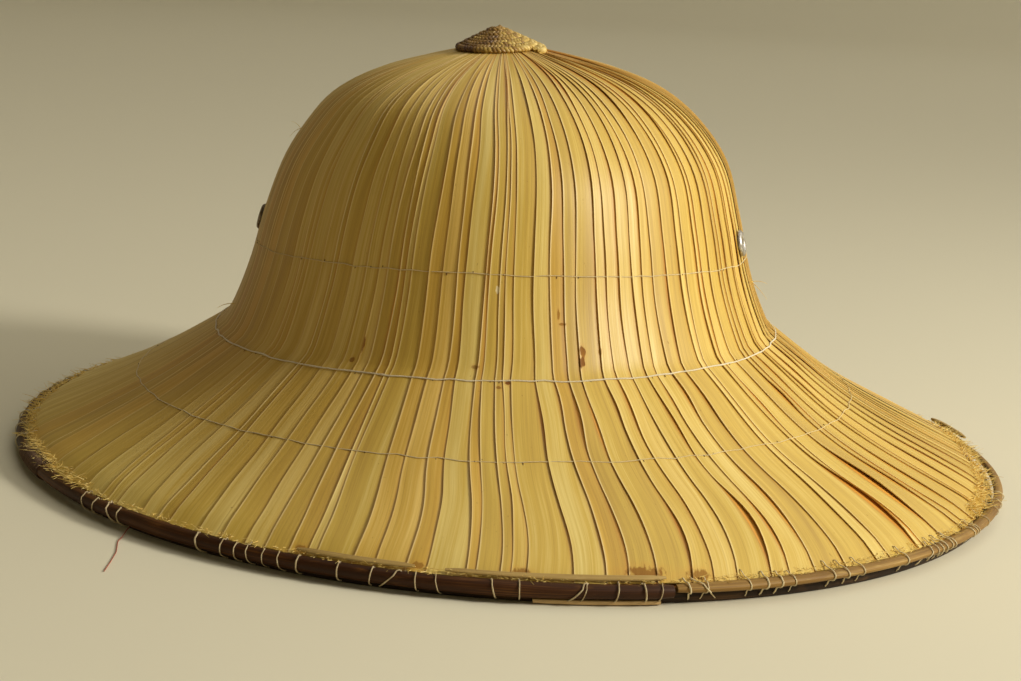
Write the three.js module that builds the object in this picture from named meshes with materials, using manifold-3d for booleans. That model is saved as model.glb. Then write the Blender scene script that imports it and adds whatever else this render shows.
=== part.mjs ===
// A sun helmet of palm leaf strips, millimetres, +Z up, resting on its rim.
// The wearer's front is at -Y. The origin is under the middle of the brim, on the floor.
// About 120 leaf strips run from the crown's top down its side and out over the brim. Each one
// lies on its neighbour's edge, and the ends are caught between split canes bound round the rim.
import * as THREE from "three";
import { mergeVertices } from "three/addons/utils/BufferGeometryUtils.js";
import Module from "manifold-3d";

const wasm = await Module();
wasm.setup();

// Overall sizes
const BRIM_WIDTH = 360; // side to side over the rim canes
const BRIM_LENGTH = 388; // front to back over the rim canes
const CROWN_WIDTH = 204; // side to side at the fold between brim and crown
const CROWN_LENGTH = 236; // front to back there
const BRIM_RISE = 47; // height of that fold above the floor
const CROWN_HEIGHT = 104; // from the fold to the crown's top, under the button
const CROWN_SHIFT = -8.2; // the old hat's crown sits off the middle of the brim
const CROWN_LEAN = 0.043; // and leans to the same side, in radians
const CROWN_ASIDE = 2.4; // its middle is pushed this far the other way
const FOLD_RISE = 2.2; // the fold is this much higher at front and back
const GAP = 0.3; // between pieces that touch

// Leaf strips
const STRIP_COUNT = 120;
const STRIP_WALL = 1.5; // wall where a strip's edge is tucked under the next one
const STRIP_LAP = 0.9; // how far a strip's free edge stands over its neighbour
const STRIP_UNEVEN = 0.16; // how far a strip's edge strays, in strip widths
const EDGE_SLANT = 0.1; // share of a strip's width taken by the step down to the next
const LINING_COLUMNS = 72; // facets round the smooth inside
const FRAY_DEPTH = 5; // strips broken short at the right side of the rim
const FRAY_CENTRE = 0.02; // angle of the shortest strips from +X, radians
const FRAY_SPREAD = 0.32; // half the angle over which they are short

// Split canes bound round the rim
const CANE_THICKNESS = 3.5; // outer cane, measured outwards
const CANE_HEIGHT = 4.6;
const CANE_BOTTOM = 2.0; // height of the outer cane above the floor
const THIN_CANE_HEIGHT = 2.8; // the outer cane's lighter right part
const HOOP_THICKNESS = 4.4; // lower hoop that the hat stands on
const HOOP_HEIGHT = 3.9;
const LATH_WIDTH = 1.8; // thin laths laid on the strip ends
const LATH_THICKNESS = 1.0;
const SPLINT_THICKNESS = 1.6; // pale cane end under the outer cane
const RIM_SIDES = 72;
const JOINT_GAP = 1.0; // between the two outer canes, along the rim
const SPLICE_ANGLE = -73.5; // degrees from +X: front end of the two outer canes
const BREAK_ANGLE = 9.5; // their other end, behind the right side
const LATHS = [
  // angles along the front of the rim, in degrees
  { name: "rim_lath_left", from: -110.2, to: -98.3 },
  { name: "rim_lath_right", from: -95.4, to: -74.2 },
];
const SPLINT_FROM = -87;
const SPLINT_TO = -74.8;

// Coiled button on the crown's top
const BUTTON_WIDTH = 33.2;
const BUTTON_LENGTH = 42; // front to back
const BUTTON_AHEAD = 6; // its edge sits forward of the crown's top
const BUTTON_ASIDE = 0.8; // and a little to the right, as its tip does
const BUTTON_TIP_ASIDE = 2.4;
const BUTTON_HEIGHT = 7.6; // from its edge to its tip
const BUTTON_EDGE = 1.1; // thickness of its edge
const BUTTON_COILS = 5;
const BUTTON_BUMP = 0.5; // how far each coil bulges
const BUTTON_SIDES = 24;

// Metal eyelets, one in each side of the crown
const EYELET_WIDTH = 9.5;
const EYELET_BORE = 4.4;
const EYELET_METAL = 0.5; // thickness of the sheet
const EYELET_DOME = 1.1; // height of the flange's rounded rim
const EYELET_BACK_WIDTH = 8;
const EYELET_SIDES = 16;
const EYELETS = [
  // angle in degrees from +X, up: share of the crown's height
  { name: "eyelet_right", angle: -16, up: 0.34 },
  { name: "eyelet_left", angle: 181, up: 0.36 },
];

// Outline of the crown: shares of its half width, half length and height, and of CROWN_ASIDE
const CROWN_ROWS = [
  { wide: 1.0, long: 1.0, up: 0.0, aside: 0.0 },
  { wide: 0.959, long: 0.971, up: 0.045, aside: 0.2 },
  { wide: 0.888, long: 0.91, up: 0.22, aside: 0.36 },
  { wide: 0.838, long: 0.864, up: 0.413, aside: 0.64 },
  { wide: 0.784, long: 0.812, up: 0.583, aside: 1.0 },
  { wide: 0.711, long: 0.747, up: 0.7, aside: 1.0 },
  { wide: 0.616, long: 0.655, up: 0.797, aside: 0.68 },
  { wide: 0.486, long: 0.518, up: 0.872, aside: 0.5 },
  { wide: 0.312, long: 0.332, up: 0.929, aside: 0.33 },
  { wide: 0.0, long: 0.0, up: 1.0, aside: 0.15 },
];
// Outline of the brim, from the rim to the fold. out: share of the way out to the rim,
// up: share of the way up to the fold, shift and lean: how much of the crown's it follows
const BRIM_ROWS = [
  { out: 1.0, up: 0.0, shift: 0.0, lean: 0.0 },
  { out: 0.41, up: 0.51, shift: 0.86, lean: 0.5 },
];

const stripEndHalfWidth = BRIM_WIDTH / 2 - CANE_THICKNESS - GAP;
const stripEndHalfLength = BRIM_LENGTH / 2 - CANE_THICKNESS - GAP;
const rimTop = CANE_BOTTOM + CANE_HEIGHT;

// The meridian as rows from the rim to the top. wide and long are half sizes, z a height.
function meridian() {
  const halfWidth = CROWN_WIDTH / 2;
  const halfLength = CROWN_LENGTH / 2;
  const brim = BRIM_ROWS.map((row) => ({
    wide: halfWidth + row.out * (stripEndHalfWidth - halfWidth),
    long: halfLength + row.out * (stripEndHalfLength - halfLength),
    z: rimTop + row.up * (BRIM_RISE - rimTop),
    shift: row.shift,
    aside: 0,
    lean: row.lean,
    rise: row.lean,
  }));
  const crown = CROWN_ROWS.map((row) => ({
    wide: halfWidth * row.wide,
    long: halfLength * row.long,
    z: BRIM_RISE + CROWN_HEIGHT * row.up,
    shift: 1,
    aside: row.aside,
    lean: 1,
    rise: 1 - row.up,
  }));
  return withNormals([...brim, ...crown]);
}

// Adds to each row the outward direction of the surface in the meridian's plane.
function withNormals(rows) {
  return rows.map((row, i) => {
    const before = rows[Math.max(i - 1, 0)];
    const after = rows[Math.min(i + 1, rows.length - 1)];
    const run = after.wide - before.wide;
    const climb = after.z - before.z;
    const length = Math.hypot(run, climb);
    const onAxis = row.wide === 0;
    return { ...row, outward: onAxis ? 0 : climb / length, upward: onAxis ? 1 : -run / length };
  });
}

// A point of the hat: at an angle round it, on a row, lifted off the surface.
function onSurface(angle, row, lift) {
  const x = (row.wide + row.outward * lift) * Math.cos(angle);
  const y = (row.long + row.outward * lift) * Math.sin(angle);
  const z = row.z + row.upward * lift + FOLD_RISE * row.rise * Math.sin(angle) ** 2;
  const lean = CROWN_LEAN * row.lean;
  const above = z - BRIM_RISE;
  return new THREE.Vector3(
    CROWN_SHIFT * row.shift + CROWN_ASIDE * row.aside + x * Math.cos(lean) - above * Math.sin(lean),
    y,
    BRIM_RISE + x * Math.sin(lean) + above * Math.cos(lean),
  );
}

// A lathed body whose point of each column and row is moved to where place says.
// Rows run up the outside, from the axis to the axis, or once round a closed ring.
function shapedLathe(rowCount, columns, place) {
  const profile = Array.from({ length: rowCount }, (_, i) => new THREE.Vector2(1, i));
  const geometry = new THREE.LatheGeometry(profile, columns);
  const position = geometry.getAttribute("position");
  for (let column = 0; column <= columns; column += 1) {
    for (let row = 0; row < rowCount; row += 1) {
      const point = place(column % columns, row);
      position.setXYZ(column * rowCount + row, point.x, point.y, point.z);
    }
  }
  return geometry;
}

function solidOf(geometry) {
  const bare = geometry.clone();
  bare.deleteAttribute("normal");
  bare.deleteAttribute("uv");
  const merged = mergeVertices(bare, 1e-4);
  const mesh = new wasm.Mesh({
    numProp: 3,
    vertProperties: new Float32Array(merged.getAttribute("position").array),
    triVerts: new Uint32Array(merged.index.array),
  });
  return new wasm.Manifold(mesh);
}

function geometryOf(solid) {
  const mesh = solid.getMesh();
  const geometry = new THREE.BufferGeometry();
  geometry.setAttribute("position", new THREE.BufferAttribute(mesh.vertProperties, 3));
  geometry.setIndex(new THREE.BufferAttribute(mesh.triVerts, 1));
  const faceted = geometry.toNonIndexed();
  faceted.computeVertexNormals();
  return faceted;
}

// Leaf strips
const rows = meridian();
const top = rows[rows.length - 1];
const stripPitch = (2 * Math.PI) / STRIP_COUNT;

// Angle of a strip's free edge: the strips are torn by hand and none is as wide as the next.
function stripEdge(strip) {
  const i = strip % STRIP_COUNT;
  const stray = 0.6 * Math.sin(i * 2.4) + 0.4 * Math.sin(i * 5.3 + 1);
  return (strip + STRIP_UNEVEN * stray) * stripPitch;
}

// Near the crown's top the laps thin out as the strips narrow.
function lapOn(row) {
  return STRIP_LAP * Math.min(1, row.wide / (0.3 * CROWN_WIDTH));
}

// How far the strip ends stop short of the rim cane.
function frayAt(angle) {
  const away = Math.atan2(Math.sin(angle - FRAY_CENTRE), Math.cos(angle - FRAY_CENTRE));
  return FRAY_DEPTH * Math.exp(-((away / FRAY_SPREAD) ** 2));
}

// The rim row drawn back along the brim's slope to where the strips end.
function stripEnd(angle) {
  const rim = rows[0];
  const fray = frayAt(angle);
  const climb = (fray * rim.outward) / rim.upward;
  return { ...rim, wide: rim.wide - fray, long: rim.long - fray, z: rim.z + climb, outward: 0 };
}

// The outside: two columns for each strip, its free edge and its tucked edge.
function stripOutside() {
  const below = -CANE_HEIGHT;
  return shapedLathe(rows.length + 2, STRIP_COUNT * 2, (column, index) => {
    const strip = Math.floor(column / 2);
    const free = column % 2 === 0;
    const angle = free ? stripEdge(strip) : stripEdge(strip + 1) - EDGE_SLANT * stripPitch;
    if (index === 0) return new THREE.Vector3(0, 0, below);
    const row = index <= 2 ? stripEnd(angle) : rows[index - 2];
    const point = onSurface(angle, row, free ? lapOn(row) : 0);
    if (index === 1) point.z = below;
    return point;
  });
}

// The hollow: a smooth core one wall inside the strips, run on past the rim.
function hollowCore() {
  const rim = rows[0];
  const drop = (CANE_THICKNESS * rim.outward) / rim.upward;
  const edge = { ...rim, wide: rim.wide + CANE_THICKNESS, long: rim.long + CANE_THICKNESS, z: rim.z - drop };
  const coreRows = [edge, ...rows];
  const below = -2 * CANE_HEIGHT;
  return shapedLathe(coreRows.length + 2, LINING_COLUMNS, (column, index) => {
    const angle = (2 * Math.PI * column) / LINING_COLUMNS;
    if (index === 0) return new THREE.Vector3(0, 0, below);
    const point = onSurface(angle, coreRows[Math.max(index - 2, 0)], -STRIP_WALL);
    if (index === 1) point.z = below;
    return point;
  });
}

// Where an eyelet sits: the middle of the wall's outside, and the axis that points out of it.
function eyeletSeat(eyelet) {
  const angle = THREE.MathUtils.degToRad(eyelet.angle);
  const z = BRIM_RISE + CROWN_HEIGHT * eyelet.up;
  const above = rows.findIndex((row) => row.z > z && row.shift === 1);
  const low = rows[above - 1];
  const high = rows[above];
  const share = (z - low.z) / (high.z - low.z);
  const lowPoint = onSurface(angle, low, 0);
  const highPoint = onSurface(angle, high, 0);
  const along = onSurface(angle + 0.02, low, 0).sub(onSurface(angle - 0.02, low, 0));
  const axis = along.cross(highPoint.clone().sub(lowPoint)).normalize();
  return { point: lowPoint.lerp(highPoint, share), axis };
}

function setInSeat(geometry, seat) {
  const turn = new THREE.Quaternion().setFromUnitVectors(new THREE.Vector3(0, 1, 0), seat.axis);
  return geometry.applyQuaternion(turn).translate(seat.point.x, seat.point.y, seat.point.z);
}

const barrelRadius = EYELET_BORE / 2 + EYELET_METAL;

function stripCover() {
  let wall = solidOf(stripOutside()).subtract(solidOf(hollowCore()));
  for (const eyelet of EYELETS) {
    const reach = 4 * (STRIP_WALL + STRIP_LAP);
    const drill = new THREE.CylinderGeometry(barrelRadius + GAP, barrelRadius + GAP, reach, EYELET_SIDES);
    wall = wall.subtract(solidOf(setInSeat(drill, eyeletSeat(eyelet))));
  }
  return geometryOf(wall);
}

// Eyelets

// A domed flange outside, a barrel through the wall and a rolled flange inside.
function eyelet(spec) {
  const sag = EYELET_WIDTH ** 2 / (4 * CROWN_WIDTH); // how far the curved wall falls away
  const outside = STRIP_LAP + GAP;
  const inside = -(STRIP_WALL + GAP + sag);
  const flange = EYELET_WIDTH / 2;
  const back = EYELET_BACK_WIDTH / 2;
  const bore = EYELET_BORE / 2;
  const profile = [
    [bore, inside - EYELET_METAL],
    [back, inside - EYELET_METAL],
    [back, inside],
    [barrelRadius, inside],
    [barrelRadius, outside],
    [flange, outside],
    [flange, outside + EYELET_METAL],
    [flange - 0.35 * (flange - bore), outside + EYELET_DOME],
    [bore + 0.35 * (flange - bore), outside + EYELET_DOME],
    [bore, outside + EYELET_METAL],
    [bore, inside - EYELET_METAL],
  ].map(([radius, height]) => new THREE.Vector2(radius, height));
  return setInSeat(new THREE.LatheGeometry(profile, EYELET_SIDES), eyeletSeat(spec));
}

// Coiled button

// Height of the crown's top cone over a point near its middle, laps included.
function coneHeight(radius, angle) {
  const ring = rows[rows.length - 2];
  const reach = 1 / Math.hypot(Math.cos(angle) / ring.wide, Math.sin(angle) / ring.long);
  const ringTop = ring.z + lapOn(ring) + FOLD_RISE * ring.rise * Math.sin(angle) ** 2;
  return top.z + (ringTop - top.z) * (radius / reach);
}

// Its edge is an oval set forward of the crown's top and follows the cone under it.
function crownButton() {
  const tip = coneHeight(0, 0) + GAP + BUTTON_HEIGHT;
  const slope = Math.atan2(BUTTON_HEIGHT - BUTTON_EDGE, BUTTON_WIDTH / 2);
  const coilOutline = [
    { share: 0, bulge: 0 },
    { share: 0.25, bulge: BUTTON_BUMP },
    { share: 0.7, bulge: BUTTON_BUMP },
  ];
  const outline = [
    { reach: 0, under: true },
    { reach: 0.5, under: true },
    { reach: 0.96, under: true },
  ];
  for (let coil = 0; coil < BUTTON_COILS; coil += 1) {
    for (const { share, bulge } of coilOutline) {
      const along = (coil + share) / BUTTON_COILS;
      outline.push({ reach: 1 - along, along, bulge });
    }
  }
  outline.push({ reach: 0, along: 1, bulge: 0 });
  const geometry = shapedLathe(outline.length, BUTTON_SIDES, (column, index) => {
    const angle = (2 * Math.PI * column) / BUTTON_SIDES;
    const edgeX = (BUTTON_WIDTH / 2) * Math.cos(angle) - BUTTON_ASIDE;
    const edgeY = (BUTTON_LENGTH / 2) * Math.sin(angle) - BUTTON_AHEAD;
    const edgeAngle = Math.atan2(edgeY, edgeX);
    const edgeRadius = Math.hypot(edgeX, edgeY);
    const { reach, along, bulge, under } = outline[index];
    if (under) {
      const z = coneHeight(edgeRadius * reach, edgeAngle) + GAP;
      return new THREE.Vector3(edgeX * reach, edgeY * reach, z - top.z);
    }
    const out = (bulge * Math.sin(slope)) / edgeRadius;
    const shoulder = coneHeight(edgeRadius, edgeAngle) + GAP + BUTTON_EDGE;
    return new THREE.Vector3(
      edgeX * (reach + out) - BUTTON_TIP_ASIDE * along,
      edgeY * (reach + out),
      shoulder + (tip - shoulder) * along + bulge * Math.cos(slope) - top.z,
    );
  });
  const seat = onSurface(0, top, 0);
  return geometry.rotateY(-CROWN_LEAN).translate(seat.x, seat.y, seat.z);
}

// Rim canes

// A ring round the brim. section holds [inwards from the brim's outer edge, height] pairs,
// once round and counter-clockwise seen with the outside of the ring on the right.
function rimRing(section) {
  return shapedLathe(section.length + 1, RIM_SIDES, (column, index) => {
    const angle = (2 * Math.PI * column) / RIM_SIDES;
    const [inwards, height] = section[index % section.length];
    return new THREE.Vector3(
      (BRIM_WIDTH / 2 - inwards) * Math.cos(angle),
      (BRIM_LENGTH / 2 - inwards) * Math.sin(angle),
      height,
    );
  });
}

// Split cane: a flat face on the inside and a rounded skin outside.
function caneSection(bottom, height, outerFace, thickness) {
  const inner = outerFace + thickness;
  return [
    [inner, bottom + 0.1 * height],
    [inner - 0.3 * thickness, bottom],
    [outerFace + 0.2 * thickness, bottom + 0.1 * height],
    [outerFace, bottom + 0.5 * height],
    [outerFace + 0.2 * thickness, bottom + 0.9 * height],
    [inner - 0.3 * thickness, bottom + height],
    [inner, bottom + 0.9 * height],
  ];
}

// A prism that covers the rim from one angle to another, in degrees.
function rimSector(from, to) {
  const shape = new THREE.Shape();
  const steps = Math.max(2, Math.ceil((to - from) / 30));
  shape.moveTo(0, 0);
  for (let i = 0; i <= steps; i += 1) {
    const angle = THREE.MathUtils.degToRad(from + ((to - from) * i) / steps);
    shape.lineTo(BRIM_WIDTH * Math.cos(angle), BRIM_LENGTH * Math.sin(angle));
  }
  shape.closePath();
  const tall = 2 * BRIM_RISE;
  return new THREE.ExtrudeGeometry(shape, { depth: tall, bevelEnabled: false }).translate(0, 0, -tall / 2);
}

function rimArc(section, from, to) {
  return geometryOf(solidOf(rimRing(section)).intersect(solidOf(rimSector(from, to))));
}

const jointAngle = THREE.MathUtils.radToDeg(JOINT_GAP / BRIM_LENGTH); // half the gap, along the rim
const leftCaneSection = caneSection(CANE_BOTTOM, CANE_HEIGHT, 0, CANE_THICKNESS);
const rightCaneSection = caneSection(rimTop - THIN_CANE_HEIGHT, THIN_CANE_HEIGHT, 0, CANE_THICKNESS);

function leftCane() {
  return rimArc(leftCaneSection, BREAK_ANGLE + jointAngle, SPLICE_ANGLE + 360 - jointAngle);
}

function rightCane() {
  return rimArc(rightCaneSection, SPLICE_ANGLE + jointAngle, BREAK_ANGLE - jointAngle);
}

// The hoop inside and under the outer cane, flat where the hat stands on it.
const hoopOuterFace = CANE_THICKNESS + GAP;

function lowerHoop() {
  const inner = hoopOuterFace + HOOP_THICKNESS;
  return rimRing([
    [inner, 0.3 * HOOP_HEIGHT],
    [inner - 0.15 * HOOP_THICKNESS, 0],
    [hoopOuterFace + 0.15 * HOOP_THICKNESS, 0],
    [hoopOuterFace, 0.3 * HOOP_HEIGHT],
    [hoopOuterFace, 0.9 * HOOP_HEIGHT],
    [inner, HOOP_HEIGHT],
  ]);
}

// A thin lath laid on the strip ends, just inside the outer cane.
function rimLath(lath) {
  const outer = CANE_THICKNESS + GAP;
  const inner = outer + LATH_WIDTH;
  const climb = (BRIM_RISE - rimTop) / (stripEndHalfWidth - CROWN_WIDTH / 2);
  const seat = rimTop + STRIP_LAP + GAP;
  const innerSeat = seat + LATH_WIDTH * climb;
  const section = [
    [inner, innerSeat],
    [outer, seat],
    [outer, seat + LATH_THICKNESS],
    [inner, innerSeat + LATH_THICKNESS],
  ];
  return rimArc(section, lath.from, lath.to);
}

// The pale end of a cane that shows between the outer cane and the floor.
function rimSplint() {
  const inner = hoopOuterFace - GAP;
  const outer = inner - SPLINT_THICKNESS;
  const height = CANE_BOTTOM - GAP;
  const section = [
    [inner, GAP],
    [outer, GAP],
    [outer, height],
    [inner, height],
  ];
  return rimArc(section, SPLINT_FROM, SPLINT_TO);
}

// Materials
function finish(color, roughness, metalness = 0) {
  return new THREE.MeshStandardMaterial({ color, roughness, metalness, flatShading: true });
}

const leaf = finish(0xd9b963, 0.55);
const plait = finish(0xb98f3e, 0.7);
const darkCane = finish(0x3a2113, 0.45);
const brownCane = finish(0x8a6440, 0.5);
const blackCane = finish(0x231a12, 0.5);
const paleCane = finish(0xcaa662, 0.55);
const nickel = finish(0xb8b8b4, 0.3, 1);

// Assembly
const helmet = new THREE.Group();

function add(name, geometry, material) {
  const mesh = new THREE.Mesh(geometry, material);
  mesh.name = name;
  helmet.add(mesh);
}

add("strip_cover", stripCover(), leaf);
add("crown_button", crownButton(), plait);
add("rim_cane_left", leftCane(), darkCane);
add("rim_cane_right", rightCane(), brownCane);
add("rim_hoop_lower", lowerHoop(), blackCane);
for (const lath of LATHS) add(lath.name, rimLath(lath), paleCane);
add("rim_splint", rimSplint(), paleCane);
for (const spec of EYELETS) add(spec.name, eyelet(spec), nickel);

export default helmet;
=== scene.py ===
import math

import bmesh
import bpy
import numpy as np
from mathutils import Matrix, Vector


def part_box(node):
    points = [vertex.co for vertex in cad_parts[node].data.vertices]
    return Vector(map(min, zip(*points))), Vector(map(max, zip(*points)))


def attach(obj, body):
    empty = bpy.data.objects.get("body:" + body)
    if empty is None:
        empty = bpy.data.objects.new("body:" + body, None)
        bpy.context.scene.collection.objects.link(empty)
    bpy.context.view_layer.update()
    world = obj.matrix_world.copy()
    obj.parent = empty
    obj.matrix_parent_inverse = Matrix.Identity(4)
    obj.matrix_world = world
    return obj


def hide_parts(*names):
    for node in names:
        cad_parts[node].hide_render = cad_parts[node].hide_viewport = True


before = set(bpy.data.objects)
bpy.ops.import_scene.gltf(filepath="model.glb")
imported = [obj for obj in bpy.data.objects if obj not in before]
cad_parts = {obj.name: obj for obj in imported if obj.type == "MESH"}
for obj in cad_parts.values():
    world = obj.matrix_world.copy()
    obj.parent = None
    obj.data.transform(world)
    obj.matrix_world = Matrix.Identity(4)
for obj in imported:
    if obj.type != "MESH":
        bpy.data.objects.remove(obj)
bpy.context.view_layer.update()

# Camera
# It stands in front of the hat and a little above its crown, and is tipped a few degrees sideways.
# Lengths in this script are metres, and angles are radians where nothing says degrees.
EYE = (0.0, -0.791, 0.190)
LOOK_DOWN = math.radians(10.704)
LOOK_LEFT = math.radians(0.19)
TIPPED = math.radians(3.782)
FOCAL_LENGTH = 76.44  # this and the sensor's width are in mm
SENSOR_WIDTH = 36

lens = bpy.data.cameras.new("camera")
lens.lens = FOCAL_LENGTH
lens.sensor_width = SENSOR_WIDTH
camera = bpy.data.objects.new("camera", lens)
aim = Matrix.Rotation(LOOK_LEFT, 4, "Z") @ Matrix.Rotation(math.pi / 2 - LOOK_DOWN, 4, "X")
camera.matrix_world = Matrix.Translation(EYE) @ aim @ Matrix.Rotation(TIPPED, 4, "Z")
bpy.context.scene.collection.objects.link(camera)
bpy.context.scene.camera = camera

# Leaf strips
# Some 130 strips of dried palm leaf run from under the button down the oval crown, over the fold and
# out to the rim. Each is a thin, slightly rounded ribbon whose left edge lies on its neighbour. They
# are torn by hand, so none is as wide as the next, and on the right of the brim they gape.
MM = 0.001
CROWN_HALF_WIDTH = 102 * MM
CROWN_HALF_LENGTH = 118 * MM
FOLD_HEIGHT = 47 * MM
CROWN_HEIGHT = 104 * MM
CROWN_SHIFT = -8.2 * MM
CROWN_LEAN = 0.043  # radians
CROWN_ASIDE = 2.4 * MM
FOLD_RISE = 2.2 * MM  # front and back of the fold are this much higher
RIM_TOP = 6.6 * MM
STRIP_END_WIDTH = -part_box("strip_cover")[0].x
STRIP_END_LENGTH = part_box("strip_cover")[1].y
BRIM_ROWS = [
    dict(out=1.0, up=0.0, shift=0.0, lean=0.0),
    dict(out=0.41, up=0.51, shift=0.86, lean=0.5),
]
CROWN_ROWS = [
    dict(wide=1.0, long=1.0, up=0.0, aside=0.0),
    dict(wide=0.959, long=0.971, up=0.045, aside=0.2),
    dict(wide=0.888, long=0.91, up=0.22, aside=0.36),
    dict(wide=0.838, long=0.864, up=0.413, aside=0.64),
    dict(wide=0.784, long=0.812, up=0.583, aside=1.0),
    dict(wide=0.711, long=0.747, up=0.7, aside=1.0),
    dict(wide=0.616, long=0.655, up=0.797, aside=0.68),
    dict(wide=0.486, long=0.518, up=0.872, aside=0.5),
    dict(wide=0.312, long=0.332, up=0.929, aside=0.33),
    dict(wide=0.0, long=0.0, up=1.0, aside=0.15),
]


def form_rows():
    """Half width, half length, height, sideways shift, lean and rise of each row, rim to top."""
    brim = [
        (
            CROWN_HALF_WIDTH + row["out"] * (STRIP_END_WIDTH - CROWN_HALF_WIDTH),
            CROWN_HALF_LENGTH + row["out"] * (STRIP_END_LENGTH - CROWN_HALF_LENGTH),
            RIM_TOP + row["up"] * (FOLD_HEIGHT - RIM_TOP),
            CROWN_SHIFT * row["shift"],
            row["lean"],
            row["lean"],
        )
        for row in BRIM_ROWS
    ]
    crown = [
        (
            CROWN_HALF_WIDTH * row["wide"],
            CROWN_HALF_LENGTH * row["long"],
            FOLD_HEIGHT + CROWN_HEIGHT * row["up"],
            CROWN_SHIFT + CROWN_ASIDE * row["aside"],
            1.0,
            1.0 - row["up"],
        )
        for row in CROWN_ROWS
    ]
    return np.array(brim + crown)


FORM = form_rows()
row_steps = np.hypot(np.diff(FORM[:, :2].mean(axis=1)), np.diff(FORM[:, 2]))
ROW_AT = np.concatenate([[0.0], np.cumsum(row_steps)])  # distance up the strips from the rim
FOLD_AT = ROW_AT[len(BRIM_ROWS)]
TOP_AT = ROW_AT[-1]


def follow(column, along):
    """A column of the form at a distance up the strips, on a smooth curve through its rows."""
    value = FORM[:, column]
    tangent = np.empty_like(value)
    tangent[1:-1] = (value[2:] - value[:-2]) / (ROW_AT[2:] - ROW_AT[:-2])
    tangent[0] = (value[1] - value[0]) / (ROW_AT[1] - ROW_AT[0])
    tangent[-1] = (value[-1] - value[-2]) / (ROW_AT[-1] - ROW_AT[-2])
    along = np.clip(along, 0, TOP_AT)
    low = np.clip(np.searchsorted(ROW_AT, along, side="right") - 1, 0, len(ROW_AT) - 2)
    span = ROW_AT[low + 1] - ROW_AT[low]
    t = (along - ROW_AT[low]) / span
    start = (1 + 2 * t) * (1 - t) ** 2 * value[low] + t * (1 - t) ** 2 * span * tangent[low]
    end = t**2 * (3 - 2 * t) * value[low + 1] - t**2 * (1 - t) * span * tangent[low + 1]
    return start + end


def on_hat(angle, along, lift):
    """Points at angles round the hat and distances up its strips, lifted off the form."""
    wide, long, z, shift, lean, rise = (follow(column, along) for column in range(6))
    nudge = 0.5 * MM
    run = follow(0, along + nudge) - follow(0, along - nudge)
    climb = follow(2, along + nudge) - follow(2, along - nudge)
    steep = np.hypot(run, climb)
    x = (wide + climb / steep * lift) * np.cos(angle)
    y = (long + climb / steep * lift) * np.sin(angle)
    above = z - run / steep * lift + FOLD_RISE * rise * np.sin(angle) ** 2 - FOLD_HEIGHT
    tip = CROWN_LEAN * lean
    return np.stack(
        [
            shift + x * np.cos(tip) - above * np.sin(tip),
            y + 0 * above,
            FOLD_HEIGHT + x * np.sin(tip) + above * np.cos(tip),
        ],
        axis=-1,
    )


STRIP_COUNT = 130
PITCH = 2 * math.pi / STRIP_COUNT
NARROWEST = 0.36  # of the mean strip
WIDEST = 1.7
STRIP_WANDER = 0.11  # how far an edge strays in long waves, in strip widths
LONG_WAVES = [0.26, 0.12]  # lengths
SMALL_WANDER = 0.02
SMALL_WAVES = [0.04]
WANDER_FADE = 60 * MM  # near the button the edges run straight
STRIP_THICK = 0.35 * MM
STRIP_DOME = 0.22 * MM
FREE_LIFT = 0.68 * MM  # of a strip's free edge over the form
TUCKED_LIFT = 0.12 * MM
EDGE_CURL = 0.16 * MM  # the free edge has dried and turned up
EDGE_CURL_REACH = 0.07
EDGE_WAVE = 0.15 * MM  # it also stands up and down in waves
EDGE_WAVES = [0.09, 0.05]  # lengths
EDGE_WAVE_START = 10 * MM
GAPE_CURL = 0.3  # and turns up by this share of the gap where the strips gape
THIN_WITHIN = 0.3 * 2 * CROWN_HALF_WIDTH  # half width of the crown inside which the strips thin out
THINNEST = 0.25
END_DIP = 1.1 * MM  # the strips' ends are bent down behind the rim cane
END_DIP_REACH = 5 * MM
OVERLAP = 0.26  # hidden part of a strip, in strip widths
RIB_SHARE = 0.5  # of the strips that show a rib, a darker line lengthwise
NO_RIB = 2.0  # puts the rib outside the strip
STRIP_STEPS = 70
ACROSS_STRIP = (0.0, 0.05, 0.13, 0.3, 0.55, 0.8, 1.0)
RIM_TURN_REACH = 36 * MM  # in which the strips turn aside towards their ends
RIM_TURNS = [
    # middle and spread round the rim and the greatest turn, in degrees
    dict(angle=-60, spread=20, turn=-3.2),
    dict(angle=-95, spread=15, turn=-1.3),
    dict(angle=-140, spread=14, turn=1.5),
    dict(angle=-28, spread=10, turn=1.5),
]
BUTTON_COVER = 10 * MM  # radius inside which the button hides the strips' ends
END_UNEVEN = 0.3 * MM
FRAY_DEPTH = 5 * MM  # how far the strips are broken back on the right
FRAY_CENTRE = 0.02
FRAY_SPREAD = 0.32
FRAY_UNEVEN = 4 * MM  # on top of it, for strips broken back further than FRAYED
FRAYED = 2 * MM
FRONT_RIGHT = (-1.2, -0.5)  # where the brim gapes most
GAPES = [
    # which sides gape, the share of strips there that do, and ranges in mm of the gap's middle up from
    # the rim and of half its length, then its least and greatest width, and the greatest at front right
    dict(side=(-1.5, -0.15), share=0.8, middle=(16, 28), half=(16, 26), width=(0.2, 0.8, 2.6)),
    dict(side=(-1.5, -0.15), share=0.6, middle=(60, 76), half=(10, 18), width=(0.3, 1.0, 1.0)),
    dict(side=(-1.3, -0.2), share=0.6, middle=(190, 225), half=(22, 40), width=(0.3, 1.0, 1.0)),
    dict(side=(-4.0, 4.0), share=0.6, middle=(95, 200), half=(25, 60), width=(0.2, 0.6, 0.6)),
]
LEAST_REACH = 20 * MM  # from the hat's middle, for turning a width into an angle


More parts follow.
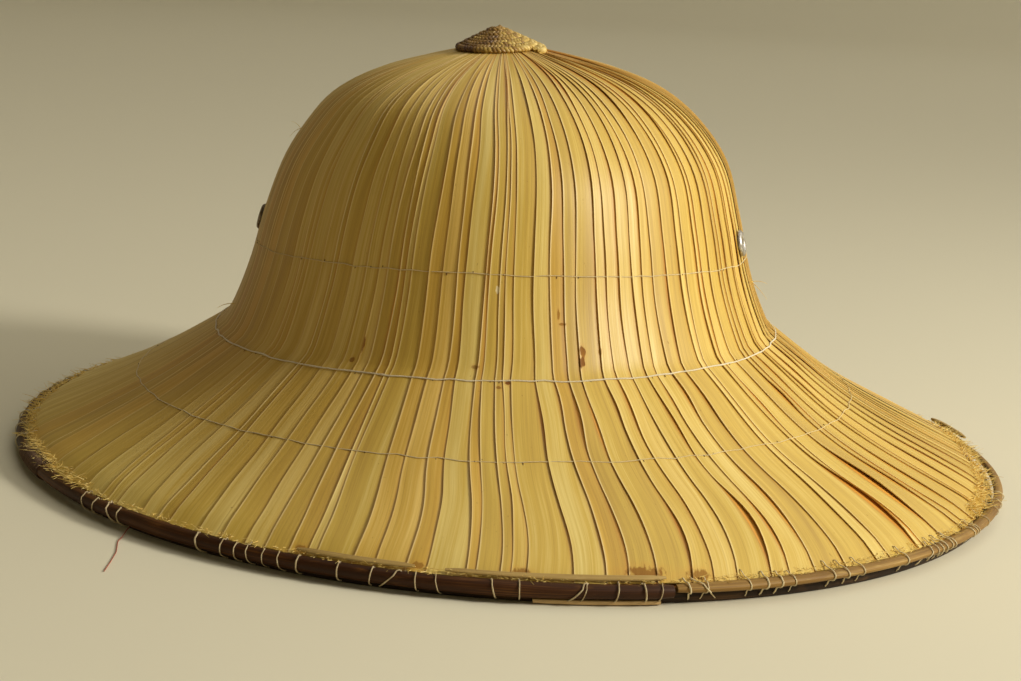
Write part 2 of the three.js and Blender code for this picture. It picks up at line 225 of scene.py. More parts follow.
def lofted(name, points, closed=False, **values):
    """A mesh of tubes: points[tube, step, ring] joined up, and capped unless closed on themselves."""
    tubes, steps, ring, _ = points.shape
    index = np.arange(tubes * steps * ring).reshape(tubes, steps, ring)
    here = index if closed else index[:, :-1]
    there = np.roll(index, -1, axis=1) if closed else index[:, 1:]
    sides = [here, np.roll(here, -1, axis=2), np.roll(there, -1, axis=2), there]
    faces = np.stack(sides, axis=-1).reshape(-1, 4).tolist()
    if not closed:
        faces += index[:, 0, ::-1].tolist() + index[:, -1].tolist()
    mesh = bpy.data.meshes.new(name)
    mesh.from_pydata(points.reshape(-1, 3).tolist(), [], faces)
    whole = bmesh.new()
    whole.from_mesh(mesh)
    bmesh.ops.recalc_face_normals(whole, faces=whole.faces)
    whole.to_mesh(mesh)
    whole.free()
    mesh.shade_smooth()
    mesh.set_sharp_from_angle(angle=math.radians(50))
    for key, value in values.items():
        vector = value.ndim == 4
        layer = mesh.attributes.new(key, "FLOAT_VECTOR" if vector else "FLOAT", "POINT")
        layer.data.foreach_set("vector" if vector else "value", value.astype(np.float32).ravel())
    piece = bpy.data.objects.new(name, mesh)
    bpy.context.scene.collection.objects.link(piece)
    return piece


def rim_turn(angle, along):
    """How far the strips turn aside near the rim."""
    turned = 0
    for row in RIM_TURNS:
        away = angle - math.radians(row["angle"])
        away = np.degrees(np.arctan2(np.sin(away), np.cos(away)))
        turned = turned + row["turn"] * np.exp(-((away / row["spread"]) ** 2))
    return np.radians(turned) * np.clip(1 - along / RIM_TURN_REACH, 0, 1) ** 1.6


def waves(chance, count, along, lengths):
    """One gentle random curve a strip along its length, within about -1 to 1."""
    total = np.zeros((count, along.size))
    for length in lengths:
        phase = chance.uniform(0, 2 * math.pi, (count, 1))
        turn = chance.uniform(0.7, 1.3, (count, 1)) * 2 * math.pi / length
        total += np.sin(turn * along + phase)
    return total / len(lengths)


def opening(along, middle, half, depth):
    """Width of a gap that opens and closes again between two neighbouring strips."""
    away = np.clip((along - middle) / half, -1, 1)
    return depth * np.cos(away * math.pi / 2) ** 2


def end_dip(along):
    """How far the strips bend down towards their ends."""
    return END_DIP * np.exp(-((along / END_DIP_REACH) ** 2))


def broken_back(side, depth=FRAY_DEPTH):
    """How far strips are broken back at an angle."""
    return depth * np.exp(-(((side - FRAY_CENTRE) / FRAY_SPREAD) ** 2))


chance = np.random.default_rng(7)
widths = chance.uniform(NARROWEST, WIDEST, STRIP_COUNT)
EDGES = np.cumsum(widths) * 2 * math.pi / widths.sum()  # of the strips' free edges
side = np.arctan2(np.sin(EDGES), np.cos(EDGES))  # -90 degrees is the front, 0 the right side
ends_short = broken_back(side)
ends_short += chance.uniform(0, END_UNEVEN, STRIP_COUNT)
ends_short += chance.uniform(0, FRAY_UNEVEN, STRIP_COUNT) * (ends_short > FRAYED)

share = np.linspace(0, 1, STRIP_STEPS)
last_along = TOP_AT - BUTTON_COVER
along = ends_short[:, None] + share * (last_along - ends_short[:, None])
level = np.linspace(0, last_along, STRIP_STEPS)
wander = STRIP_WANDER * waves(chance, STRIP_COUNT, level, LONG_WAVES)
wander += SMALL_WANDER * waves(chance, STRIP_COUNT, level, SMALL_WAVES)
wander *= np.clip((last_along - level) / WANDER_FADE, 0, 1)
edge_line = EDGES[:, None] + wander * PITCH
edge_line += rim_turn(edge_line, level)

# Where a strip's free edge has drawn back, the tucked side of its neighbour lies bare. Its colour
# there is painted: shade next to the edge and a glow of light through the leaf further off.
gap = np.zeros_like(edge_line)
for i in range(STRIP_COUNT):
    at_front_right = FRONT_RIGHT[0] < side[i] < FRONT_RIGHT[1]
    for row in GAPES:
        if row["side"][0] < side[i] < row["side"][1] and chance.random() < row["share"]:
            middle, half = chance.uniform(*row["middle"]) * MM, chance.uniform(*row["half"]) * MM
            least, greatest, at_front = row["width"]
            width = chance.uniform(least, at_front if at_front_right else greatest) * MM
            gap[i] += opening(level, middle, half, width)
gap_angle = gap / np.maximum(follow(0, level), LEAST_REACH)
left = edge_line + gap_angle
next_line = np.roll(edge_line, -1, axis=0)
next_line[-1] += 2 * math.pi
right = next_line + OVERLAP * PITCH + np.roll(gap_angle, -1, axis=0)

u = np.array(ACROSS_STRIP)
under_u = np.array([1.0, 0.5, 0.0])
around_u = np.concatenate([u, under_u])
thin = np.clip(follow(0, along) / THIN_WITHIN, THINNEST, 1)[..., None]
angle = left[..., None] + (right - left)[..., None] * around_u
bow = STRIP_DOME * 4 * around_u * (1 - around_u) + EDGE_CURL * np.exp(-around_u / EDGE_CURL_REACH)
top_lift = FREE_LIFT + (TUCKED_LIFT - FREE_LIFT) * around_u + bow
is_under = np.concatenate([np.zeros_like(u), np.ones_like(under_u)])
lift = (top_lift - STRIP_THICK * is_under) * thin
curl = EDGE_WAVE * waves(chance, STRIP_COUNT, level, EDGE_WAVES) + GAPE_CURL * gap
lift = lift + curl[..., None] * (1 - around_u) ** 3 * np.clip(along[..., None] / EDGE_WAVE_START, 0, 1)
along_3 = np.broadcast_to(along[..., None], angle.shape)
strip_points = on_hat(angle, along_3, lift - end_dip(along_3))
reach = np.hypot(strip_points[..., 0], strip_points[..., 1])
number = np.broadcast_to(np.arange(STRIP_COUNT)[:, None, None] * 0.37, angle.shape)
from_left = (angle - left[..., None]) * reach
past_next = (angle - next_line[..., None]) * reach
next_gap = np.maximum(np.roll(gap, -1, axis=0)[..., None], 0.25 * MM)
rib_at = chance.uniform(0.15, 0.6, (STRIP_COUNT, 1, 1))
rib_at = rib_at + NO_RIB * (chance.random((STRIP_COUNT, 1, 1)) < 1 - RIB_SHARE)
leaf_strips = lofted(
    "leaf_strips",
    strip_points,
    place=np.stack([from_left, along_3, number], axis=-1),
    spot=np.stack([np.degrees(angle), along_3 * 1000, 0 * angle], axis=-1),
    tone=np.broadcast_to(chance.random((STRIP_COUNT, 1, 1)), angle.shape),
    from_left=from_left * 1000,
    past_next=past_next * 1000,
    bared=np.clip(past_next / next_gap, 0, 1),
    rib=np.broadcast_to(around_u, angle.shape) - rib_at,
    tint=np.broadcast_to(chance.random((STRIP_COUNT, 1, 1)), angle.shape),
    browned=np.clip(-strip_points[..., 0] / CROWN_HALF_WIDTH, 0, 1) * np.clip(along_3 / FOLD_AT, 0, 1),
)


class Shade:
    """A value or colour in a material. Arithmetic adds Math nodes, and node() adds any other."""

    def __init__(self, tree, socket=None):
        self.tree = tree
        self.socket = socket

    def node(self, kind, settings=None, inputs=None, out=0):
        made = self.tree.nodes.new("ShaderNode" + kind)
        for name, value in (settings or {}).items():
            if name == "stops":
                stops = made.color_ramp.elements
                while len(stops) < len(value):
                    stops.new(0.5)
                for stop, (position, colour) in zip(stops, value):
                    stop.position = position
                    stop.color = (*colour, 1)
            else:
                setattr(made, name, value)
        for name, value in (inputs or {}).items():
            if isinstance(value, Shade):
                self.tree.links.new(value.socket, made.inputs[name])
            else:
                made.inputs[name].default_value = value
        return Shade(self.tree, made.outputs[out])

    def maths(self, operation, other=0.0, swapped=False, clamp=False):
        pair = (other, self) if swapped else (self, other)
        settings = dict(operation=operation, use_clamp=clamp)
        return self.node("Math", settings, dict(enumerate(pair)))

    def __add__(self, other):
        return self.maths("ADD", other)

    def __sub__(self, other):
        return self.maths("SUBTRACT", other)

    def __rsub__(self, other):
        return self.maths("SUBTRACT", other, swapped=True)

    def __mul__(self, other):
        return self.maths("MULTIPLY", other)

    __radd__ = __add__
    __rmul__ = __mul__

    def clamped(self):
        return self.maths("ADD", 0.0, clamp=True)


def ramp(value, *stops):
    """A colour that runs through stops, each a position and a colour."""
    return value.node("ValToRGB", dict(stops=stops), {"Fac": value})


def mixed(share, first, second, blend="MIX"):
    """The first colour with a share of the second mixed in, or multiplied by it."""
    settings = dict(data_type="RGBA", blend_type=blend)
    pair = [value if isinstance(value, Shade) else (*value, 1) for value in (first, second)]
    return share.node("Mix", settings, {0: share, 6: pair[0], 7: pair[1]}, out=2)


def attribute(tree, name, out="Fac"):
    """What the mesh gives for each point under a name."""
    return tree.node("Attribute", dict(attribute_name=name), out=out)


def streaks(vector, scale, detail=2.0):
    """Noise drawn out along a piece: scale is its fineness across, along and between pieces."""
    drawn = vector.node("VectorMath", dict(operation="MULTIPLY"), {0: vector, 1: scale})
    return vector.node("TexNoise", {}, {"Vector": drawn, "Scale": 1.0, "Detail": detail})


def relief_of(height, strength, depth):
    """The surface's normal, tipped as if it had this small relief."""
    inputs = {"Strength": strength, "Distance": depth, "Height": height}
    return height.node("Bump", {}, inputs, out="Normal")


def new_finish(name):
    """A new material and its node tree, with nothing but the standard shader in it."""
    material = bpy.data.materials.new(name)
    material.use_nodes = True
    return material, Shade(material.node_tree)


def set_shader(material, inputs):
    """Sets or links the shader's sockets."""
    shader = material.node_tree.nodes["Principled BSDF"]
    for name, value in inputs.items():
        if isinstance(value, Shade):
            material.node_tree.links.new(value.socket, shader.inputs[name])
        else:
            shader.inputs[name].default_value = value


def dress(piece, material, slot, *nodes):
    """Gives a piece its material, sets it on the hat, and takes the place of the nodes named."""
    piece.data.materials.clear()
    piece.data.materials.append(material)
    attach(piece, "root")
    if nodes:
        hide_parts(*nodes)


LEAF_DARK = (0.44, 0.265, 0.042)
LEAF_MIDDLE = (0.63, 0.425, 0.07)
LEAF_PALE = (0.84, 0.66, 0.225)
# The edge colour is a painted highlight along each strip's free edge.
LEAF_EDGE_HIGHLIGHT = (0.93, 0.78, 0.4)
LEAF_CASTS = [(0.08, (1.0, 0.88, 0.66)), (0.24, (1.0, 1.0, 1.0)), (0.85, (0.96, 0.98, 0.97))]
# Painted shade on the crown's left, away from the key light:
LEAF_LEFT_SHADE = (0.78, 0.66, 0.6)  # multiplies the colour at the left of the crown
# Painted light: shadow beside each seam, then shade and a glow of light through the leaf in gaps.
SEAM_SHADOW = (0.45, 0.165, 0.016)
GAP_SHADE = (0.6, 0.24, 0.026)
GAP_GLOW = (0.9, 0.45, 0.06)
RUST = (0.19, 0.06, 0.001)
RUST_HALO = (0.6, 0.27, 0.02)
SCUFF = (0.9, 0.78, 0.5)
STAINS = [
    # degrees round the hat, mm up from the rim, half width in degrees, half height in mm, strength
    (-72.5, 93.8, 0.75, 2.4, 0.9, RUST),
    (-72.8, 90.4, 0.75, 2.6, 0.9, RUST),
    (-68.9, 93.7, 0.5, 1.3, 0.5, RUST),
    (-115.4, 93.7, 0.4, 3.2, 0.8, RUST),
    (-117.0, 88.0, 0.6, 1.2, 0.7, RUST),
    (-92.7, 88.7, 0.9, 0.9, 0.6, RUST),
    (-88.2, 80.6, 0.6, 0.7, 0.7, RUST),
    (-86.6, 82.7, 0.5, 1.0, 1.0, RUST),
    (-76.9, 106.6, 0.35, 2.0, 0.6, RUST),
    (-76.2, 103.4, 0.9, 0.6, 0.6, RUST),
    (-89.3, 114.8, 0.5, 1.6, 0.8, SCUFF),
    (-75.8, 3.5, 2.2, 3.2, 0.75, RUST),
    (-70.5, 2.5, 1.5, 2.4, 0.7, RUST),
    (-88.0, 3.0, 1.1, 1.8, 0.7, RUST),
    (-98.0, 2.6, 0.7, 1.6, 0.6, RUST),
    (-110.0, 2.6, 0.8, 1.6, 0.6, RUST),
]

leaf, tree = new_finish("palm_leaf")
where = attribute(tree, "place", "Vector")
own = attribute(tree, "tone")
broad = streaks(where, (240, 12, 31), 3)
vein = streaks(where, (950, 16, 51), 2)
fibre = streaks(where, (2600, 40, 77), 2)
grain = streaks(where, (6500, 260, 13), 1)
tone_value = (own * 0.3 + broad * 0.6 + vein * 0.46 + fibre * 0.3 - 0.34).clamped()
colour = ramp(tone_value, (0.12, LEAF_DARK), (0.48, LEAF_MIDDLE), (0.85, LEAF_PALE))
colour = mixed(broad + 0.15, colour, ramp(attribute(tree, "tint"), *LEAF_CASTS), "MULTIPLY")
# Painted shade: the crown's left, away from the key light, is made darker and browner.
colour = mixed(attribute(tree, "browned"), colour, LEAF_LEFT_SHADE, "MULTIPLY")
rib_line = (1 - attribute(tree, "rib").maths("ABSOLUTE") * 40).clamped()
colour = mixed(rib_line * 0.45, colour, LEAF_DARK)
# Painted highlight: a pale line along each strip's free edge, as if its raised lip caught the light.
edge_highlight = (1.2 - attribute(tree, "from_left") * 1.9).clamped()
colour = mixed(edge_highlight * (0.55 - 0.35 * own), colour, LEAF_EDGE_HIGHLIGHT)
# Painted shadow: along the neighbour's edge the leaf is darkened as if shaded by that edge. What that
# edge covered until it drew back is painted shade close to it and a glow of light through the leaf.
past_next = attribute(tree, "past_next")
seam_shadow = ((past_next + 1.9) * 0.5).clamped()
colour = mixed(seam_shadow * seam_shadow * 0.72, colour, SEAM_SHADOW)
# Painted shade and glow where the neighbour's edge has drawn back and the strips gape.
under_neighbour = (past_next * 5 + 0.6).clamped()
bared = mixed(attribute(tree, "bared"), GAP_SHADE, GAP_GLOW)
colour = mixed(under_neighbour, colour, bared)
speck = (streaks(where, (900, 500, 5), 2) * 9 - 6.5).clamped()
colour = mixed(speck * 0.5, colour, RUST)
spot = attribute(tree, "spot", "Vector")
rough_edge = streaks(where, (900, 500, 3), 4)
stained = speck * 0.5
for degrees, up, wide, high, strength, stain in STAINS:
    away = tree.node("VectorMath", dict(operation="SUBTRACT"), {0: spot, 1: (degrees % 360, up, 0)})
    away = tree.node("VectorMath", dict(operation="DIVIDE"), {0: away, 1: (wide, high, 1)})
    far = tree.node("VectorMath", dict(operation="LENGTH"), {0: away}, out="Value")
    mark = ((1.7 - far - rough_edge * 1.5) * 3).clamped()
    if stain == RUST:
        halo = ((2.5 - far - rough_edge * 1.5) * 0.9).clamped()
        colour = mixed(halo * 0.4 * strength, colour, RUST_HALO)
    colour = mixed(mark * strength, colour, stain)
    stained = stained.maths("MAXIMUM", mark)
height = fibre * 0.6 + grain * 0.2 + vein * 0.5
relief = relief_of(height, 0.3, 0.15 * MM)
roughness = 0.6 - 0.18 * fibre + 0.4 * stained
set_shader(leaf, {"Base Color": colour, "Roughness": roughness, "Normal": relief})
set_shader(leaf, {"Specular IOR Level": 0.5, "Coat Weight": 0.06, "Coat Roughness": 0.35})
dress(leaf_strips, leaf, "leaf_strips", "strip_cover")

# Inner strips
# A second layer of the same leaf lies under the first with its joints in other places, so that no
# light comes through. Its outer face shows between the outer strips and is painted in shade, with a
# glow of light through the leaf. Its inner face is the hat's plain inside.
INNER_COUNT = 96
INNER_LIFT = -0.85 * MM
INNER_LAP = 0.35 * MM
INNER_THICK = 0.3 * MM
INNER_THINNEST = 0.3
INNER_REACH = 1.2  # a strip's width, in shares of the way to the next
ACROSS_INNER = (0.0, 0.4, 0.8, INNER_REACH, INNER_REACH, 0.6, 0.0)  # over the top and back below
INNER_WANDER = 0.1
INNER_WAVES = [0.2, 0.09]
INNER_BROKEN = FRAY_DEPTH + 1 * MM
INNER_TOP = 5 * MM  # they end this far short of the crown's top
INNER_STEPS = 40

share = np.linspace(0, 1, INNER_STEPS)
inner_pitch = 2 * math.pi / INNER_COUNT
inner_start = np.arange(INNER_COUNT)[:, None] * inner_pitch
side = np.arctan2(np.sin(inner_start), np.cos(inner_start))
inner_short = broken_back(side, INNER_BROKEN)
along = inner_short + share * (TOP_AT - INNER_TOP - inner_short)
inner_u = np.array(ACROSS_INNER)
is_under = np.array([0, 0, 0, 0, 1, 1, 1])
stray = INNER_WANDER * waves(chance, INNER_COUNT, share * TOP_AT, INNER_WAVES)[..., None]
angle = inner_start[..., None] + inner_pitch * (inner_u + stray)
along_3 = np.broadcast_to(along[..., None], angle.shape)
thin = np.clip(follow(0, along) / THIN_WITHIN, INNER_THINNEST, 1)[..., None]
# Inside, each strip's left edge stands in towards the head, and its right edge lies behind the next.
lift = INNER_LIFT - (INNER_LAP * (1 - inner_u / INNER_REACH) + INNER_THICK * is_under) * thin
inner_points = on_hat(angle, along_3, lift - end_dip(along_3))
reach = np.hypot(inner_points[..., 0], inner_points[..., 1])
number = np.broadcast_to(50 + np.arange(INNER_COUNT)[:, None, None] * 0.41, angle.shape)
place = np.stack([inner_u * inner_pitch * reach, along_3, number], axis=-1)
tone = np.broadcast_to(chance.random((INNER_COUNT, 1, 1)), angle.shape)
outward = np.broadcast_to(1.0 - is_under, angle.shape)
inner_strips = lofted("inner_strips", inner_points, place=place, tone=tone, outward=outward)

inner_leaf, tree = new_finish("palm_leaf_inside")
where = attribute(tree, "place", "Vector")
own = attribute(tree, "tone")
fibre = streaks(where, (2200, 40, 55))
tone_value = (own * 0.5 + fibre * 0.7 - 0.15).clamped()
inside = ramp(tone_value, (0.1, (0.36, 0.23, 0.08)), (0.9, (0.66, 0.47, 0.2)))
# Painted shade with a glow of light through the leaf, on the face that shows between the outer strips.
painted_gap_shade = ramp(tone_value, (0.1, (0.2, 0.075, 0.012)), (0.9, (0.42, 0.19, 0.035)))
relief = relief_of(fibre, 0.3, 0.12 * MM)
set_shader(inner_leaf, {"Base Color": mixed(attribute(tree, "outward"), inside, painted_gap_shade)})
set_shader(inner_leaf, {"Roughness": 0.65 - 0.15 * fibre, "Normal": relief})
dress(inner_strips, inner_leaf, "leaf_strips")

# Sewing threads
# Rows of thin twisted thread hold the strips to each other: one round the crown, one in the fold,
# one round the middle of the brim. Each crosses every strip and goes down at a brown needle hole.
THREAD_ROWS = [
    # distance up the strips, and how much more at front and back and at the right side
    dict(
        name="thread_crown",
        along=FOLD_AT + 32.9 * MM,
        front=3.0 * MM,
        right=-1.4 * MM,
        thick=0.34 * MM,
        jog=0.3 * MM,
        dirt_and_shade=(0.6, 0.45, 0.21),
        clean_and_lit=(0.78, 0.64, 0.36),
    ),
    dict(
        name="thread_fold",
        along=FOLD_AT - 0.2 * MM,
        front=-0.5 * MM,
        right=0.3 * MM,
        thick=0.52 * MM,
        jog=0.4 * MM,
        dirt_and_shade=(0.74, 0.63, 0.44),
        clean_and_lit=(0.86, 0.78, 0.58),
    ),
    dict(
        name="thread_brim",
        along=50.1 * MM,
        front=0.0,
        right=0.7 * MM,
        thick=0.32 * MM,
        jog=0.5 * MM,
        dirt_and_shade=(0.7, 0.58, 0.36),
        clean_and_lit=(0.76, 0.61, 0.3),
    ),
]
THREAD_STEPS = 1440
THREAD_SIDES = 6
THREAD_SEAT = 0.45  # of its thickness, height of a thread's middle over the strips
MEAN_REACH = 0.12 * 1000  # of the threads from the hat's middle, in mm
HOLE_SHARE = 0.4  # of the strips with a needle hole that shows
HOLE_LENGTH = 0.9 * MM
HOLE_THICK = 0.45 * MM


def tube_points(path, thick, facing, sides):
    """Rings of points round path[tube, step]; facing is a direction that no path runs along."""
    tangent = np.gradient(path, axis=1)
    tangent /= np.linalg.norm(tangent, axis=-1, keepdims=True)
    aside = np.cross(tangent, facing)
    aside /= np.maximum(np.linalg.norm(aside, axis=-1, keepdims=True), 1e-9)
    up = np.cross(aside, tangent)
    turn = np.linspace(0, 2 * math.pi, sides, endpoint=False)[:, None]
    radius = np.broadcast_to(thick, path.shape[:2])[..., None, None] / 2
    ring = np.cos(turn) * aside[:, :, None] + np.sin(turn) * up[:, :, None]
    return path[:, :, None] + radius * ring


def strip_lift(angle):
    """Height of the outer strips' top over the form at an angle, where they lap evenly."""
    start = EDGES[0]
    edges = np.sort(np.append(EDGES, start + 2 * math.pi))
    a = np.mod(angle - start, 2 * math.pi) + start
    i = np.clip(np.searchsorted(edges, a, side="right") - 1, 0, STRIP_COUNT - 1)
    u = (a - edges[i]) / (edges[i + 1] - edges[i]) / (1 + OVERLAP)
    return FREE_LIFT + (TUCKED_LIFT - FREE_LIFT) * u + STRIP_DOME * 4 * u * (1 - u)


def thread_finish(name, dirt_and_shade, clean_and_lit):
    """Twisted cotton in patches of dirt, with painted shade on the hat's left; nearly white on the right.
    """
    material, tree = new_finish(name)
    where = attribute(tree, "place", "Vector")
    twist = tree.node("TexWave", {}, {"Vector": where, "Scale": 1.0, "Distortion": 1.5})
    dirt = tree.node("TexNoise", {}, {"Vector": where, "Scale": 0.35, "Detail": 2.0})
    # Painted shade: the thread is darker towards the hat's left, away from the key light; noise adds dirt.
    clean_and_lit_share = (dirt * 1.4 + attribute(tree, "rightward") * 0.6 - 0.3).clamped()
    colour = mixed(clean_and_lit_share, dirt_and_shade, clean_and_lit)
    relief = relief_of(twist, 0.5, 0.1 * MM)
    set_shader(material, {"Base Color": colour, "Roughness": 0.8, "Normal": relief})
    return material


needle_hole, tree = new_finish("needle_hole")
hole_noise = streaks(attribute(tree, "place", "Vector"), (2000, 2000, 9))
hole_colour = ramp(hole_noise, (0.3, (0.05, 0.02, 0.006)), (0.7, (0.2, 0.09, 0.03)))
set_shader(needle_hole, {"Base Color": hole_colour, "Roughness": 0.85})

hole_paths = []
for row in THREAD_ROWS:
    angle = np.linspace(0, 2 * math.pi, THREAD_STEPS, endpoint=False)
    jog = chance.uniform(-1, 1, STRIP_COUNT) * row["jog"]
    jog = np.interp(angle / PITCH, np.arange(STRIP_COUNT + 1) + 0.1, np.append(jog, jog[0]))
    at = row["along"] + jog + row["front"] * np.sin(angle) ** 2 + row["right"] * np.cos(angle)
    thick = row["thick"] * (1 + 0.15 * np.sin(angle * 37) * np.sin(angle * 11))
    smooth_lift = np.convolve(np.tile(strip_lift(angle), 3), np.ones(9) / 9, "same")
    over = smooth_lift[THREAD_STEPS : 2 * THREAD_STEPS]
    path = on_hat(angle, at, over + thick * THREAD_SEAT)[None]
    points = tube_points(path, thick[None], np.array([0.0, 0.0, 1.0]), THREAD_SIDES)
    length = np.broadcast_to((angle * MEAN_REACH)[None, :, None], points.shape[:3])
    ring = np.broadcast_to(np.linspace(0, 1, THREAD_SIDES), points.shape[:3])
    place = np.stack([length * 4 + ring * 3, ring, length], axis=-1)
    rightward = np.broadcast_to(np.cos(angle)[None, :, None], points.shape[:3])
    row_piece = lofted(row["name"], points, closed=True, place=place, rightward=rightward)
    dress(row_piece, thread_finish(row["name"], row["dirt_and_shade"], row["clean_and_lit"]), "leaf_strips")
    for edge in EDGES[chance.random(STRIP_COUNT) < HOLE_SHARE]:
        turned = edge + chance.uniform(0.1, 0.5) * PITCH
        middle = row["along"] + row["front"] * math.sin(turned) ** 2 + row["right"] * math.cos(turned)
        middle += chance.uniform(-0.8, 0.6) * MM
        steps = middle + np.linspace(-0.5, 0.5, 5) * HOLE_LENGTH * chance.uniform(0.5, 1.2)
        hole_lift = strip_lift(np.array([turned]))[0] * np.ones(5)
        hole_paths.append(on_hat(np.full(5, turned), steps, hole_lift))
hole_path = np.array(hole_paths)
hole_taper = np.sin(np.linspace(0.3, math.pi - 0.3, 5))
hole_thick = HOLE_THICK * hole_taper * chance.uniform(0.6, 1.2, (len(hole_path), 1))
points = tube_points(hole_path, hole_thick, np.array([0.3, 0.2, 1.0]), 6)
dress(lofted("needle_holes", points, place=points * 1.0), needle_hole, "leaf_strips")

# Rim canes
# Split canes are bound round the strips' ends: a dark one outside that a thin brown one continues
# on the right, a nearly black one below and inside, and pale splits laid on top along the front.
rim_low, rim_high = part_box("rim_cane_left")
RIM_HALF_WIDTH = -rim_low.x
RIM_HALF_LENGTH = rim_high.y
CANE_THICK = 3.5 * MM
HOOP_OUTER = 3.8 * MM  # the hoop's outer face, inwards from the rim's outer edge
HOOP_THICK = 4.4 * MM
HOOP_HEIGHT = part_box("rim_hoop_lower")[1].z
LATH_WIDTH = 1.5 * MM
LATH_THICK = 0.8 * MM
LATH_SEAT = 7.0 * MM
BRIM_SLOPE = (FOLD_HEIGHT - RIM_TOP) / (STRIP_END_WIDTH - CROWN_HALF_WIDTH)
SPLICE = -73.5  # where the outer canes meet in front, in degrees
BREAK = 9.5  # and behind the right side
JOINT = 0.15  # half the gap between them
THIN_CANE_HEIGHT = 2.8 * MM
THIN_FROM = -20.0  # the brown cane is whittled thin from here to its end
LATHS = [
    # name, the node that it stands for, and its ends in degrees
    ("lath_left", "rim_lath_left", -110.2, -98.3),
    ("lath_right", "rim_lath_right", -95.4, -74.2),
]
BROKEN_END = (10.2, 19.5)  # ends in degrees, as the splint's are
SPLINT = (-87, -74.8)
SPLINT_THICK = 1.6 * MM
SPLINT_OUT = 1.9 * MM  # how far it stands out past the lower hoop


def on_rim(degrees, inwards, height):
    """Points round the rim, inwards from its outer edge and above the floor."""
    turn = np.radians(degrees)
    x = (RIM_HALF_WIDTH - inwards) * np.cos(turn)
    y = (RIM_HALF_LENGTH - inwards) * np.sin(turn)
    return np.stack([x + 0 * height, y + 0 * height, height + 0 * x], axis=-1)


def split_cane_section(bottom, height, outer, thick, count=14):
    """A flat face inside and a rounded skin outside, as [inwards, height] pairs."""
    turn = np.linspace(-math.pi / 2, math.pi / 2, count)
    skin_in = outer + 0.7 * thick * (1 - np.cos(turn))
    skin_up = bottom + height * (0.5 + 0.5 * np.sin(turn))
    back_in = [outer + 0.93 * thick, outer + thick, outer + thick, outer + 0.93 * thick]
    back_up = [bottom + height * part for part in (0.98, 0.86, 0.14, 0.02)]
    return np.append(skin_in, back_in), np.append(skin_up, back_up)


def rounded_section(bottom, height, outer, thick, slope=0.0, count=20, squareness=3.4):
    """A bar with rounded corners that may lie on a slope, as [inwards, height] pairs."""
    turn = np.linspace(0, 2 * math.pi, count, endpoint=False)
    power = 2 / squareness
    c = np.sign(np.cos(turn)) * np.abs(np.cos(turn)) ** power
    s = np.sign(np.sin(turn)) * np.abs(np.sin(turn)) ** power
    inwards = outer + thick * (0.5 + 0.5 * c)
    return inwards, bottom + height * (0.5 + 0.5 * s) + slope * (inwards - outer)


def cane(name, section, start, end, waver, taper=0.0, thin_from=None):
    """A cane laid round the rim between two angles, with slow changes of thickness."""
    steps = max(12, int((end - start) * 1.5))
    closed = end - start >= 360
    degrees = np.linspace(start, end, steps, endpoint=not closed)
    inwards, height = (np.broadcast_to(part, (steps, part.size)) for part in section)
    middle_in = (inwards.max() + inwards.min()) / 2
    middle_up = (height.max() + height.min()) / 2
    length = np.radians(degrees) * RIM_HALF_LENGTH
    slow = np.sin(length * 61 + start) + np.sin(length * 97 + 2 * start)
    if closed:
        slow = np.sin(np.radians(degrees) * 9) + np.sin(np.radians(degrees) * 16)
    size = 1 + waver * slow[:, None] / 2
    from_end = np.minimum(degrees - start, end - degrees)
    size = size * (1 - taper * np.exp(-((from_end / 0.8) ** 2)))[:, None]
    if thin_from is not None:
        size = size * (1 - 0.4 * np.clip((degrees - thin_from) / (end - thin_from), 0, 1))[:, None]
    inwards = middle_in + (inwards - middle_in) * size
    up = middle_up + (height - middle_up) * size
    points = on_rim(degrees[:, None], inwards, up)[None]
    ring = np.broadcast_to(np.linspace(0, 12 * MM, inwards.shape[1]), inwards.shape)
    along_rim = np.broadcast_to(length[:, None], inwards.shape)
    place = np.stack([ring, along_rim, 0 * ring + start * 0.01], axis=-1)[None]
    return lofted(name, points, closed=closed, place=place)


def cane_finish(name, dark, middle, pale, wear, rough):
    """Split cane with long fibres, darker and paler stretches, and worn spots."""
    material, tree = new_finish(name)
    where = attribute(tree, "place", "Vector")
    fibre = streaks(where, (1900, 30, 3), 3)
    patch = streaks(where, (60, 22, 3), 3)
    tone_value = (fibre * 0.6 + patch * 0.8 - 0.2).clamped()
    colour = ramp(tone_value, (0.15, dark), (0.55, middle), (0.95, pale))
    worn = (streaks(where, (500, 90, 9), 4) * 7 - 4.2).clamped()
    colour = mixed(worn * wear, colour, pale)
    relief = relief_of(fibre, 0.4, 0.2 * MM)
    set_shader(material, {"Base Color": colour, "Roughness": rough + 0.2 * fibre, "Normal": relief})
    set_shader(material, {"Specular IOR Level": 0.22})
    return material


dark_cane = cane_finish(
    "dark_cane", (0.012, 0.004, 0.001), (0.05, 0.015, 0.002), (0.27, 0.11, 0.02), wear=0.3, rough=0.42
)
brown_cane = cane_finish(
    "brown_cane", (0.11, 0.048, 0.012), (0.3, 0.17, 0.042), (0.58, 0.4, 0.13), wear=0.5, rough=0.42
)
black_cane = cane_finish(
    "black_cane", (0.009, 0.005, 0.003), (0.026, 0.014, 0.007), (0.14, 0.075, 0.03), wear=0.4, rough=0.5
)
pale_cane = cane_finish(
    "pale_cane", (0.36, 0.22, 0.09), (0.6, 0.41, 0.19), (0.78, 0.6, 0.33), wear=0.3, rough=0.5
)
lath_cane = cane_finish(
    "lath_cane", (0.18, 0.1, 0.03), (0.42, 0.28, 0.09), (0.66, 0.48, 0.2), wear=0.4, rough=0.45
)

